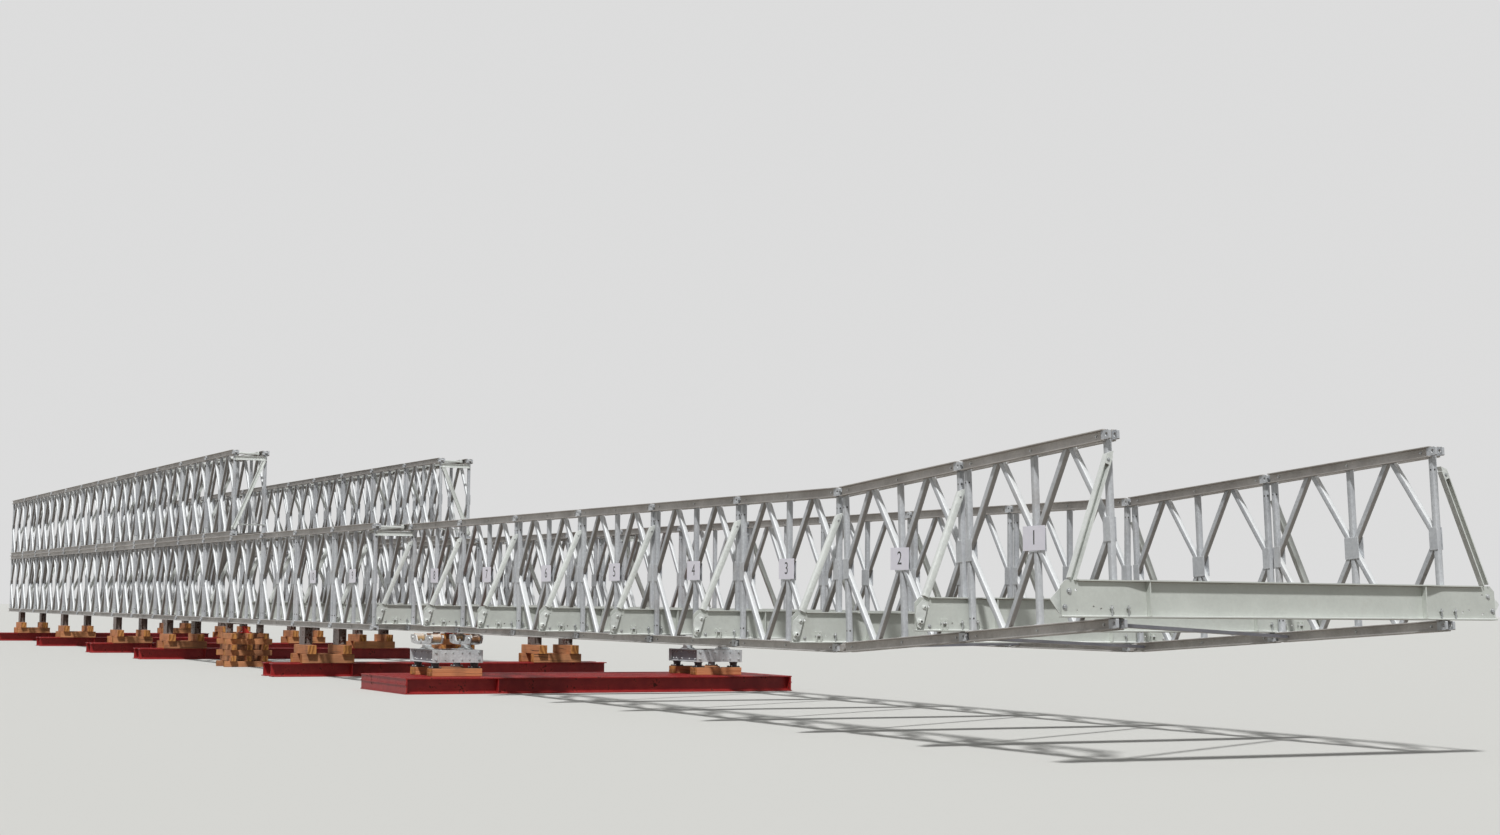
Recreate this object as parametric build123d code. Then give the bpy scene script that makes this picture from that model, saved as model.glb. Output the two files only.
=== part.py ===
"""Modular steel panel bridge on its launching supports, as a 1:2 scale model in millimetres.

Twenty-four bays of pinned lattice panels. The twelve tail bays are two trusses wide and two storeys
high, the next four are two wide and one high, and the eight nose bays are a single truss, whose last
two bays tip up on launching links. Joints are counted from 0 at the nose tip to 24 at the tail.
+X points to the nose, +Y to the far girder, +Z up, and Z 0 is the ground under the base beams.
"""

import os
from math import atan2, cos, degrees, hypot, radians, sin

from build123d import *

# Layout of the bridge
bay_length = 1524.0
pin_height = 1035.0
girder_spacing = 2355.0
truss_spacing = 390.0
pin_level = 580.0
nose_tilt = 3.7
tip_bays = 2
single_bays = 6
double_bays = 4
storey_bays = 12

# Panels
chord_depth = 64.0
flange_width = 28.0
channel_web = 4.0
channel_flange = 5.0
lattice_thickness = 36.0
post_width = 36.0
post_inset = 75.0
post_end_margin = 6.0
diagonal_width = 36.0
apex_rise = 12.0
chord_joint_gap = 12.0
fit_gap = 0.3

# Pin lugs at the nose tip
lug_reach = 26.0
lug_depth = 52.0
lug_seat = 50.0
pin_bore = 24.0

# Transoms
transom_depth = 203.0
transom_flange = 88.0
transom_web = 6.0
transom_flange_thickness = 7.0
transom_overhang = 400.0
flange_clearance = 3.0

# Rakers and bracing
raker_width = 50.0
raker_foot_inset = 20.0
raker_foot_rise = 85.0
raker_head_inset = 30.0
raker_head_drop = 105.0
brace_width = 30.0
brace_thickness = 20.0
brace_foot_rise = 75.0
frame_length = 1180.0
frame_bar = 34.0
frame_depth = 60.0
sway_width = 40.0
sway_depth = 20.0
sway_inset = 110.0

# Base beams
beam_depth = 150.0
beam_width = 150.0
beam_web = 8.0
beam_flange = 10.0
beam_length = 4000.0
grillage_beams = 6
grillage_spacing = 250.0
twin_beam_spacing = 330.0

# Rocking roller units
packer_height = 73.0
packer_size = 170.0
foot_size = 84.0
foot_height = 52.0
box_length = 675.0
box_width = 500.0
box_height = 122.0
pivot_length = 160.0
cheek_length = 640.0
cheek_thickness = 12.0
cheek_rise = 12.0
cheek_end_drop = 28.0
cheek_belly_drop = 60.0
roller_radius = 42.0
roller_length = 96.0
roller_spacing = 500.0

# Timber stacks, saddles and jacks
timber_size = 100.0
timber_length = 600.0
timber_spread = 400.0
saddle_length = 220.0
saddle_width = 420.0
crib_timber_size = 70.0
crib_layers = 6
jack_size = 80.0
jack_foot = 130.0
jack_plate = 14.0
jack_head_width = 486.0

# Supports, by the joint number that stands over them
rocker_station = 6.9
jack_station = 12.05
saddle_stations = (9.7, 14.4, 16.8, 19.9, 23.0)

os.makedirs("parts", exist_ok=True)

# Levels and places that follow from the sizes above
chord_half = chord_depth / 2
channel_back = lattice_thickness / 2 + fit_gap
channel_front = channel_back + channel_web
chord_toe = channel_back + flange_width
tilt = radians(nose_tilt)
double_joint = tip_bays + single_bays
storey_joint = double_joint + double_bays
tail_joint = storey_joint + storey_bays
transom_bottom = chord_half + fit_gap
storey_rise = pin_height + chord_depth + fit_gap
inner_y = girder_spacing / 2
outer_y = inner_y + truss_spacing
girder_middle = (inner_y + outer_y) / 2
chord_underside = pin_level - chord_half

# The whole bridge is centred on X 0, from the tail transom's flange to the tip transom's foot
transom_half = transom_flange / 2
tip_reach = (tip_bays * bay_length + transom_half) * cos(tilt)
tip_reach += (pin_height - transom_bottom) * sin(tilt)
level_reach = (tail_joint - tip_bays) * bay_length + transom_half
hinge_x = (level_reach - tip_reach) / 2

sides = {"near": -1, "far": 1}


def joint_x(joint):
    """Place along the bridge of a joint of the level part."""
    return hinge_x - (joint - tip_bays) * bay_length


def level_frame(joint, storey=0):
    """Frame at the bottom pin line of a level joint, on the bridge's centre plane."""
    return Pos(joint_x(joint), 0, pin_level + storey * storey_rise)


def tip_frame(joint):
    """The same in the tipped bays, which turn about the top pins of their last joint."""
    hinge = Pos(hinge_x, 0, pin_level + pin_height) * Rot(0, -nose_tilt, 0)
    return hinge * Pos((tip_bays - joint) * bay_length, 0, -pin_height)


def joint_frame(joint):
    """Frame of any joint of the lower storey."""
    return level_frame(joint) if joint >= tip_bays else tip_frame(joint)


def write(name, solids):
    """One file for one node."""
    export_step(Compound(children=list(solids)), f"parts/{name}.step")


def slab(outline, thickness):
    """An outline drawn in X and Z, made into a plate centred on the plane Y 0."""
    return extrude(Rot(90, 0, 0) * outline, thickness / 2, both=True)


def bar_section(outline, length):
    """An outline drawn in Y and Z, drawn out along +X from X 0."""
    return extrude(Plane.YZ * outline, length)


def closed(*points):
    """A polygon through points in the order given."""
    return Polygon(*points, align=None)


# Panels


def diamond_frame():
    """Four diagonals mitred into a diamond, which fills half a bay between two posts."""
    half_width = (bay_length - 2 * post_inset) / 4 - post_width / 2 - fit_gap
    half_height = pin_height / 2 + apex_rise
    inner = 1 - diagonal_width * hypot(half_width, half_height) / (half_width * half_height)
    outline = Sketch()
    for share in (1, inner):
        width, height = half_width * share, half_height * share
        shape = closed((width, 0), (0, height), (-width, 0), (0, -height))
        outline = shape if share == 1 else outline - shape
    return slab(outline, lattice_thickness)


def post():
    height = pin_height + chord_depth - 2 * post_end_margin
    return Box(post_width, lattice_thickness, height)


def chord_channel(length):
    """One channel of a chord, on the +Y side, with its toes outwards."""
    lip = chord_half - channel_flange
    section = closed(
        (channel_back, -chord_half),
        (chord_toe, -chord_half),
        (chord_toe, -lip),
        (channel_front, -lip),
        (channel_front, lip),
        (chord_toe, lip),
        (chord_toe, chord_half),
        (channel_back, chord_half),
    )
    return bar_section(section, length)


half_panel = diamond_frame()
panel_post = post()
post_step = bay_length / 2 - post_inset


def panel(full):
    """Posts and diamonds of one bay, from its tail joint towards the nose.

    A panel that isn't full has only its end posts.
    """
    middle = pin_height / 2
    shares = (0, 1, 2) if full else (0, 2)
    pieces = [Pos(post_inset + share * post_step, 0, middle) * panel_post for share in shares]
    if full:
        pieces += [
            Pos(post_inset + share * post_step, 0, middle) * half_panel for share in (0.5, 1.5)
        ]
    return pieces


def truss(frame, y, bays, full=True, tail_gap=0.0, nose_gap=0.0):
    """A run of panels between two pairs of chord channels.

    The frame is at the run's tail joint. The gaps leave room for the next run or for pin lugs.
    """
    channel = chord_channel(bays * bay_length - tail_gap - nose_gap)
    pieces = []
    for bay in range(bays):
        pieces += [Pos(bay * bay_length, 0, 0) * piece for piece in panel(full)]
    for level in (0, pin_height):
        for side in (channel, channel.mirror(Plane.XZ)):
            pieces.append(Pos(tail_gap, 0, level) * side)
    return [frame * Pos(0, y, 0) * piece for piece in pieces]


half_gap = chord_joint_gap / 2
main_bays = double_bays + storey_bays
tail_foot = level_frame(tail_joint)
tail_storey = level_frame(tail_joint, storey=1)
for side, sign in sides.items():
    outer, inner = sign * outer_y, sign * inner_y
    inner_lower = truss(tail_foot, inner, main_bays, full=False, nose_gap=half_gap)
    nose = truss(
        level_frame(double_joint), inner, single_bays, tail_gap=half_gap, nose_gap=half_gap
    )
    tip = truss(tip_frame(tip_bays), inner, tip_bays, tail_gap=half_gap, nose_gap=lug_reach)
    write(f"{side}_outer_lower_truss", truss(tail_foot, outer, main_bays))
    write(f"{side}_inner_lower_truss", inner_lower)
    write(f"{side}_outer_upper_truss", truss(tail_storey, outer, storey_bays))
    write(f"{side}_inner_upper_truss", truss(tail_storey, inner, storey_bays, full=False))
    write(f"{side}_nose_truss", nose)
    write(f"{side}_nose_tip_truss", tip)


# Pin lugs and launching links


def pin_lug():
    """Bored plate between a chord's two channels, standing out to the pin line and past it."""
    outline = Pos((lug_reach - lug_seat) / 2, 0) * Rectangle(lug_reach + lug_seat, lug_depth)
    return slab(outline - Circle(pin_bore / 2), lattice_thickness)


def launching_link():
    """Block that holds the bottom chords apart where the nose tips up."""
    opening = 2 * pin_height * sin(tilt / 2) + chord_joint_gap
    length = opening - 2 * chord_half * sin(tilt / 2) - 2 * fit_gap
    block = Box(length, 2 * channel_front, lug_depth)
    return Pos(opening / 2 - half_gap, 0, 0) * Rot(0, -nose_tilt / 2, 0) * block


lug = pin_lug()
lugs = [
    tip_frame(0) * Pos(0, sign * inner_y, level) * lug
    for sign in sides.values()
    for level in (0, pin_height)
]
write("nose_tip_pin_lugs", lugs)
link = launching_link()
links = [level_frame(tip_bays) * Pos(0, sign * inner_y, 0) * link for sign in sides.values()]
write("launching_links", links)


# Rakers lean from a transom's end to an inner post's head, between its web and the post

raker_foot = (inner_y + transom_overhang - raker_foot_inset, raker_foot_rise)
raker_head = (inner_y + raker_head_inset, pin_height - raker_head_drop)
raker_slope = (raker_foot[0] - raker_head[0]) / (raker_head[1] - raker_foot[1])


# Transoms


def flange_end():
    """Half length of a transom's top flange, which stops short of the rakers."""
    climb = transom_bottom + transom_depth - raker_foot_rise
    half_width = raker_width / 2 * hypot(1, raker_slope)
    return raker_foot[0] - climb * raker_slope - half_width - flange_clearance


def transom():
    """Plate girder under both girders' posts, whose top flange stops short of its ends."""
    length = girder_spacing + 2 * transom_overhang
    web_height = transom_depth - transom_flange_thickness
    web = Pos(0, 0, web_height / 2) * Box(transom_web, length, web_height)
    foot = Pos(0, 0, transom_flange_thickness / 2) * Box(
        transom_flange, length, transom_flange_thickness
    )
    head = Pos(0, 0, transom_depth - transom_flange_thickness / 2) * Box(
        transom_flange, 2 * flange_end(), transom_flange_thickness
    )
    return Pos(0, 0, transom_bottom) * (web + foot + head)


cross_girder = transom()
nose_joints = range(double_joint)
main_joints = range(double_joint, tail_joint + 1)
write("nose_transoms", [joint_frame(joint) * cross_girder for joint in nose_joints])
write("main_transoms", [joint_frame(joint) * cross_girder for joint in main_joints])


# Rakers and upper braces


def leaning_bar(low, high, thickness, width):
    """Bar from a low to a high place, each (Y, Z), in the plane X 0 of the +Y girder."""
    run, rise = low[0] - high[0], high[1] - low[1]
    middle = Pos(0, (low[0] + high[0]) / 2, (low[1] + high[1]) / 2)
    lean = degrees(atan2(run, rise))
    return middle * Rot(lean, 0, 0) * Box(thickness, width, hypot(run, rise))


web_face = transom_web / 2 + fit_gap
post_face = post_inset - post_width / 2 - fit_gap
raker_thickness = post_face - web_face
raker = Pos((web_face + post_face) / 2, 0, 0) * leaning_bar(
    raker_foot, raker_head, raker_thickness, raker_width
)
brace_foot = (outer_y, brace_foot_rise)
storey_brace = Pos(post_face - brace_thickness / 2, 0, 0) * leaning_bar(
    brace_foot, raker_head, brace_thickness, brace_width
)


def at_joints(piece, joints, storey, sign):
    """A piece that stands on the nose side of each joint, and on the tail side of the first."""
    placed = []
    for joint in joints:
        copy = piece.mirror(Plane.YZ) if joint == joints[0] else piece
        if sign < 0:
            copy = copy.mirror(Plane.XZ)
        frame = level_frame(joint, storey) if storey else joint_frame(joint)
        placed.append(frame * copy)
    return placed


all_joints = range(tail_joint + 1)
storey_joints = range(storey_joint, tail_joint + 1)
for side, sign in sides.items():
    write(f"{side}_rakers", at_joints(raker, all_joints, 0, sign))
    write(f"{side}_upper_braces", at_joints(storey_brace, storey_joints, 1, sign))


# Top bracing frames


def top_frame():
    """Flat frame between the top chords of a girder's two trusses, over one bay."""
    width = truss_spacing - 2 * chord_toe - 2 * fit_gap
    outline = Rectangle(frame_length, width)
    outline -= Rectangle(frame_length - 2 * frame_bar, width - 2 * frame_bar)
    return extrude(outline, frame_depth / 2, both=True)


flat_frame = top_frame()
for side, sign in sides.items():
    frames = []
    for joint in range(double_joint, tail_joint):
        place = level_frame(joint, int(joint >= storey_joint))
        frames.append(place * Pos(-bay_length / 2, sign * girder_middle, pin_height) * flat_frame)
    write(f"{side}_top_frames", frames)


# Sway braces


def sway_brace():
    """Bar under one bay, from a near joint to the far joint behind it, between bottom chords."""
    reach = inner_y - channel_front - fit_gap
    half_run = bay_length / 2 - sway_inset
    slant = atan2(reach, half_run)
    half_bar = sway_width / 2 / sin(slant)
    outline = closed(
        (half_run - half_bar, -reach),
        (half_run + half_bar, -reach),
        (half_bar - half_run, reach),
        (-half_bar - half_run, reach),
    )
    return Pos(-bay_length / 2, 0, 0) * extrude(outline, sway_depth / 2, both=True)


diagonal = sway_brace()
tip_braces = [tip_frame(joint) * diagonal for joint in range(tip_bays)]
level_braces = [level_frame(joint) * diagonal for joint in range(tip_bays, tail_joint)]
write("nose_sway_braces", tip_braces + level_braces[:single_bays])
write("main_sway_braces", level_braces[single_bays:])


# Base beams


def base_beam():
    """Wide-flange beam lying across the bridge on the ground."""
    half, web = beam_width / 2, beam_web / 2
    low, high = beam_flange, beam_depth - beam_flange
    section = closed(
        (-half, 0),
        (half, 0),
        (half, low),
        (web, low),
        (web, high),
        (half, high),
        (half, beam_depth),
        (-half, beam_depth),
        (-half, high),
        (-web, high),
        (-web, low),
        (-half, low),
    )
    return slab(section, beam_length)


ground_beam = base_beam()
rocker_x = joint_x(rocker_station)
first_beam = rocker_x - (grillage_beams - 1) / 2 * grillage_spacing
grillage = [
    Pos(first_beam + index * grillage_spacing, 0, 0) * ground_beam
    for index in range(grillage_beams)
]
write("launching_grillage", grillage)
twin_offsets = (-twin_beam_spacing / 2, twin_beam_spacing / 2)
beams = [
    Pos(joint_x(station) + offset, 0, 0) * ground_beam
    for station in saddle_stations
    for offset in twin_offsets
]
write("base_beams", beams)


# Rocking rollers


def rocker_cheek():
    """Side plate of a rocker, deepest over its pivot."""
    half = cheek_length / 2
    outline = closed(
        (-half, cheek_rise),
        (-half, -cheek_end_drop),
        (-pivot_length / 2, -cheek_belly_drop),
        (pivot_length / 2, -cheek_belly_drop),
        (half, -cheek_end_drop),
        (half, cheek_rise),
    )
    return slab(outline, cheek_thickness)


truss_lines = (-truss_spacing / 2, truss_spacing / 2)
packer_bottom = beam_depth + fit_gap
foot_bottom = packer_bottom + packer_height + fit_gap
box_bottom = foot_bottom + foot_height + fit_gap
pivot_bottom = box_bottom + box_height + fit_gap
axle_level = chord_underside - fit_gap - roller_radius
pivot_height = axle_level - roller_radius - fit_gap - pivot_bottom
foot_offset = (box_length - packer_size) / 2
cheek_offset = roller_length / 2 + fit_gap + cheek_thickness / 2

roller = Rot(90, 0, 0) * Cylinder(roller_radius, roller_length)
cheek = rocker_cheek()
pivot = Box(pivot_length, roller_length, pivot_height)
for side, sign in sides.items():
    place = Pos(rocker_x, sign * girder_middle, 0)
    packers, feet, rockers, rollers = [], [], [], []
    for x in (-foot_offset, foot_offset):
        packer = Box(packer_size, box_width, packer_height)
        packers.append(place * Pos(x, 0, packer_bottom + packer_height / 2) * packer)
        for y in truss_lines:
            foot = Box(foot_size, foot_size, foot_height)
            feet.append(place * Pos(x, y, foot_bottom + foot_height / 2) * foot)
    box = place * Pos(0, 0, box_bottom + box_height / 2) * Box(box_length, box_width, box_height)
    for y in truss_lines:
        line = place * Pos(0, y, 0)
        rockers.append(line * Pos(0, 0, pivot_bottom + pivot_height / 2) * pivot)
        for offset in (-cheek_offset, cheek_offset):
            rockers.append(line * Pos(0, offset, axle_level) * cheek)
        for x in (-roller_spacing / 2, roller_spacing / 2):
            rollers.append(line * Pos(x, 0, axle_level) * roller)
    write(f"{side}_roller_packers", packers)
    write(f"{side}_roller_box", [box] + feet)
    write(f"{side}_rockers", rockers)
    write(f"{side}_launching_rollers", rollers)


# Timber stacks, saddles and jacks


def timber_layer(bottom, along_y, section, rows=2):
    """Parallel timbers of one layer, whose middle is over X 0 and Y 0."""
    size = (section, timber_length, section) if along_y else (timber_length, section, section)
    pieces = []
    for row in range(rows):
        shift = timber_spread * (row / (rows - 1) - 0.5)
        place = (shift, 0) if along_y else (0, shift)
        pieces.append(Pos(*place, bottom + section / 2) * Box(*size))
    return pieces


layer_step = timber_size + fit_gap
stack_levels = (beam_depth + fit_gap, beam_depth + fit_gap + layer_step)
saddle_bottom = stack_levels[1] + layer_step
saddle_height = chord_underside - fit_gap - saddle_bottom
crib_step = crib_timber_size + fit_gap
jack_bottom = crib_layers * crib_step
jack_height = chord_underside - fit_gap - jack_bottom


def jack():
    """Short screw jack and two packing blocks under a head plate that reaches both trusses."""
    body = Pos(0, 0, jack_plate / 2) * Box(jack_foot, jack_foot, jack_plate)
    head = Box(jack_foot, jack_head_width, jack_plate)
    body += Pos(0, 0, jack_height - jack_plate / 2) * head
    for y in (truss_lines[0], 0, truss_lines[1]):
        body += Pos(0, y, jack_height / 2) * Box(jack_size, jack_size, jack_height)
    return body


prop = jack()
jacks = []
for side, sign in sides.items():
    timbers, saddles = [], []
    for station in saddle_stations:
        place = Pos(joint_x(station), sign * girder_middle, 0)
        for level, along_y in zip(stack_levels, (True, False)):
            timbers += [place * piece for piece in timber_layer(level, along_y, timber_size)]
        saddle = Box(saddle_length, saddle_width, saddle_height)
        saddles.append(place * Pos(0, 0, saddle_bottom + saddle_height / 2) * saddle)
    place = Pos(joint_x(jack_station), sign * girder_middle, 0)
    for layer in range(crib_layers):
        along_y = layer % 2 == 0
        rows = 2 if along_y else 3
        pieces = timber_layer(layer * crib_step, along_y, crib_timber_size, rows)
        timbers += [place * piece for piece in pieces]
    jacks.append(place * Pos(0, 0, jack_bottom) * prop)
    write(f"{side}_timber_stacks", timbers)
    write(f"{side}_saddles", saddles)
write("jacks", jacks)
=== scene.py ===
"""Looks of a modular panel bridge, pushed out over its launching rollers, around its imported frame."""

import random
from collections import namedtuple
from math import atan2, cos, pi, radians, sin

import bmesh
import bpy
import numpy as np
from mathutils import Matrix, Vector


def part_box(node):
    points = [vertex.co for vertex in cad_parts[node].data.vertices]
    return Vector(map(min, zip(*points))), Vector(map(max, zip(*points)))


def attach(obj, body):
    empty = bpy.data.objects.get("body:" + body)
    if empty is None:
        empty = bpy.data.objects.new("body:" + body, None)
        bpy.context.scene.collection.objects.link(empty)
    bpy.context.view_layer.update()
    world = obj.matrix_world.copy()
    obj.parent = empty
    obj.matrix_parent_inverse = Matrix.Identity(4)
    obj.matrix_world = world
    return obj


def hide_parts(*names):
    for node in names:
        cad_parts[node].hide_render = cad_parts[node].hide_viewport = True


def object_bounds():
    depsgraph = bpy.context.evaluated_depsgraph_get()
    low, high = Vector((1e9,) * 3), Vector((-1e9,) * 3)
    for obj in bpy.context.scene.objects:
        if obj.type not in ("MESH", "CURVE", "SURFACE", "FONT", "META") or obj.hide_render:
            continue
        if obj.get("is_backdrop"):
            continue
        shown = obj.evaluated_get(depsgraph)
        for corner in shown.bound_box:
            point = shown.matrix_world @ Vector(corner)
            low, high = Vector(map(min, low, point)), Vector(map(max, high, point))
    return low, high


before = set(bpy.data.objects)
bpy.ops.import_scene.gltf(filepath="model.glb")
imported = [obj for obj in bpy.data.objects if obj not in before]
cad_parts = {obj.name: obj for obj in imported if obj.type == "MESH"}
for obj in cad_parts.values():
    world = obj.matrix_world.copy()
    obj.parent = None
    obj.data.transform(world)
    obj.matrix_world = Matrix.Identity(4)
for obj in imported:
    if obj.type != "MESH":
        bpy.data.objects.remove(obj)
cad_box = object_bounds()
view = bpy.context.scene
view.view_settings.view_transform = "Standard"


# Camera. It stands low beyond the nose, on the near side, and looks back along the bridge, so the
# nose fills the right of the picture and the tail runs away to the left.
camera_yaw = -1.1076
camera_pitch = 0.0824
camera_roll = 0.0101
camera_place = (28.313, -8.42, 0.874)
level_share = cos(camera_pitch)
forward = Vector((level_share * sin(camera_yaw), level_share * cos(camera_yaw), sin(camera_pitch)))
level_right = Vector((forward.y, -forward.x, 0)).normalized()
level_up = level_right.cross(forward)
camera_right = level_right * cos(camera_roll) + level_up * sin(camera_roll)
camera_up = level_up * cos(camera_roll) - level_right * sin(camera_roll)
camera_data = bpy.data.cameras.new("camera")
camera_data.lens = 53.72
camera_data.sensor_width = 36
camera_data.sensor_fit = "HORIZONTAL"
camera_data.clip_end = 300
camera = bpy.data.objects.new("camera", camera_data)
camera_axes = Matrix((camera_right, camera_up, -forward)).transposed().to_4x4()
camera.matrix_world = Matrix.Translation(camera_place) @ camera_axes
view.collection.objects.link(camera)
view.camera = camera


# Studio. A plain pale floor under an even, pale surround, with one broad soft lamp high over the nose
# and the near side, so that the tops of the diagonals that lean back from the nose are brightest.
def linear(hex_colour):
    """An sRGB hex colour as linear red, green, blue and full alpha."""
    channels = [int(hex_colour[start : start + 2], 16) / 255 for start in (0, 2, 4)]
    return tuple(c / 12.92 if c <= 0.04045 else ((c + 0.055) / 1.055) ** 2.4 for c in channels) + (1.0,)


def set_inputs(tree, node, inputs):
    """Sets a node's inputs, each to a value or to another node's output."""
    for name, value in inputs.items():
        socket = node.inputs[name]
        if isinstance(value, bpy.types.NodeSocket):
            tree.links.new(value, socket)
        else:
            socket.default_value = value


def add_node(tree, kind, inputs=None, output=0, **settings):
    """Adds one shader node with its settings and links, and gives one of its outputs.

    A Mix of colours takes its share at input 0 and its colours at 6 and 7, and gives output 2.
    """
    node = tree.nodes.new("ShaderNode" + kind)
    for name, value in settings.items():
        setattr(node, name, value)
    set_inputs(tree, node, inputs or {})
    return node.outputs[output]


def new_material(name):
    """A new material, its node tree and its shader."""
    material = bpy.data.materials.new(name)
    material.use_nodes = True
    return material, material.node_tree, material.node_tree.nodes["Principled BSDF"]


def seen_directly(tree):
    """1 where the camera sees a surface, also in a mirror or through glass, and 0 for lighting."""
    rays = add_node(tree, "LightPath").node.outputs
    bent = {0: rays["Is Glossy Ray"], 1: rays["Is Transmission Ray"]}
    bent_ray = add_node(tree, "Math", bent, operation="MAXIMUM")
    return add_node(tree, "Math", {0: rays["Is Camera Ray"], 1: bent_ray}, operation="MAXIMUM")


floor_size = 400
floor_drop = 0.0005
floor_material, tree, shader = new_material("matt_studio_floor")
floor_shades = {0: seen_directly(tree), 6: linear("8E8A82"), 7: linear("D2D2CE")}
floor_colour = add_node(tree, "Mix", floor_shades, 2, data_type="RGBA")
set_inputs(tree, shader, {"Base Color": floor_colour, "Roughness": 0.9})
bpy.ops.mesh.primitive_plane_add(size=floor_size, location=(0, 0, -floor_drop))
floor = bpy.context.object
floor.name = "floor"
floor.data.materials.append(floor_material)
floor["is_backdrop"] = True

surround_light = 0.2
surround_seen = 0.72
world = bpy.data.worlds.new("surround")
world.use_nodes = True
tree = world.node_tree
strengths = {"Value": seen_directly(tree), "To Min": surround_light, "To Max": surround_seen}
strength = add_node(tree, "MapRange", strengths)
set_inputs(tree, tree.nodes["Background"], {"Color": linear("FFFFFF"), "Strength": strength})
view.world = world

lamp_direction = Vector((0.6, -0.42, 1.0))
lamp_data = bpy.data.lights.new("soft_lamp", "SUN")
lamp_data.energy = 3.15
lamp_data.angle = radians(5)
lamp = bpy.data.objects.new("soft_lamp", lamp_data)
lamp.rotation_euler = lamp_direction.to_track_quat("Z", "Y").to_euler()
view.collection.objects.link(lamp)


# Base beams. Rolled wide-flange steel beams in red oxide primer, four metres long, which lie across
# the bridge on the ground. Six carry the roller units and pairs of them the timber stacks behind.
Shape = namedtuple("Shape", "points corners sizes slots tones")


def shape_of(points, faces, slot=0):
    """Loose mesh data, which is placed many times and joined once into a piece."""
    corners = np.array([corner for face in faces for corner in face], int)
    sizes = np.array([len(face) for face in faces], int)
    slots = np.full(len(faces), slot)
    return Shape(np.array(points, float), corners, sizes, slots, np.zeros(len(points)))


def placed(shape, place, tone=0.0):
    """A copy of a shape moved by a matrix, turned the right way out where the matrix mirrors it."""
    matrix = np.array(place)
    points = shape.points @ matrix[:3, :3].T + matrix[:3, 3]
    corners = shape.corners
    if np.linalg.det(matrix[:3, :3]) < 0:
        ends = np.cumsum(shape.sizes)
        reversed_faces = [corners[end - size : end][::-1] for end, size in zip(ends, shape.sizes)]
        corners = np.concatenate(reversed_faces)
    return Shape(points, corners, shape.sizes, shape.slots, shape.tones + tone)


def together(shapes):
    """Several shapes as one."""
    counts = np.cumsum([0] + [len(shape.points) for shape in shapes[:-1]])
    return Shape(
        np.concatenate([shape.points for shape in shapes]),
        np.concatenate([shape.corners + count for shape, count in zip(shapes, counts)]),
        np.concatenate([shape.sizes for shape in shapes]),
        np.concatenate([shape.slots for shape in shapes]),
        np.concatenate([shape.tones for shape in shapes]),
    )


edge_angle = radians(35)


def piece_of(name, shapes, materials, slot, *nodes):
    """Joins shapes into one piece of the bridge, smooth but for its real edges."""
    shape = together(shapes)
    mesh = bpy.data.meshes.new(name)
    mesh.vertices.add(len(shape.points))
    mesh.vertices.foreach_set("co", shape.points.ravel())
    mesh.loops.add(len(shape.corners))
    mesh.loops.foreach_set("vertex_index", shape.corners)
    mesh.polygons.add(len(shape.sizes))
    mesh.polygons.foreach_set("loop_start", np.cumsum(shape.sizes) - shape.sizes)
    mesh.polygons.foreach_set("material_index", shape.slots)
    for material in materials:
        mesh.materials.append(material)
    tone = mesh.attributes.new("tone", "FLOAT", "POINT")
    tone.data.foreach_set("value", shape.tones)
    mesh.update(calc_edges=True)
    mesh.validate()
    mesh.polygons.foreach_set("use_smooth", np.ones(len(mesh.polygons), bool))
    mesh.set_sharp_from_angle(angle=edge_angle)
    piece = bpy.data.objects.new(name, mesh)
    view.collection.objects.link(piece)
    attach(piece, "root")
    if nodes:
        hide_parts(*nodes)


def move(x=0.0, y=0.0, z=0.0):
    """A shift along the three axes."""
    return Matrix.Translation((x, y, z))


def turn(angle, axis):
    """A turn about an axis through the origin."""
    return Matrix.Rotation(angle, 4, axis)


# Both turn an outline's Y upwards. Upright then draws it across the bridge, and lengthwise along it.
upright = turn(pi / 2, "X")
lengthwise = Matrix(((0, 0, 1, 0), (1, 0, 0, 0), (0, 1, 0, 0), (0, 0, 0, 1)))


def mirrored_by(x, y, z=1):
    """A mirror in each axis whose factor is -1."""
    return Matrix.Diagonal((x, y, z, 1))


def skin(rings, slot=0):
    """Joins rings of equally many points, from the bottom up, into a closed shape."""
    count = len(rings[0])
    points = [point for ring in rings for point in ring]
    faces = [tuple(reversed(range(count)))]
    for low in range(0, len(points) - count, count):
        faces += [
            (low + i, low + (i + 1) % count, low + count + (i + 1) % count, low + count + i)
            for i in range(count)
        ]
    faces.append(tuple(range(len(points) - count, len(points))))
    return shape_of(points, faces, slot)


def prism(outline, start, end, slot=0):
    """An outline in X and Y drawn along Z, closed at both ends."""
    return skin([[(x, y, level) for x, y in outline] for level in (start, end)], slot)


def solid_of(curve, slot=0):
    """Turns a filled curve into a clean closed shape."""
    holder = bpy.data.objects.new("outline", curve)
    mesh = bpy.data.meshes.new_from_object(holder)
    body = bmesh.new()
    body.from_mesh(mesh)
    bmesh.ops.remove_doubles(body, verts=body.verts, dist=1e-6)
    bmesh.ops.recalc_face_normals(body, faces=body.faces)
    points = [tuple(vertex.co) for vertex in body.verts]
    faces = [tuple(vertex.index for vertex in face.verts) for face in body.faces]
    body.free()
    bpy.data.objects.remove(holder)
    bpy.data.curves.remove(curve)
    bpy.data.meshes.remove(mesh)
    return shape_of(points, faces, slot)


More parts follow.
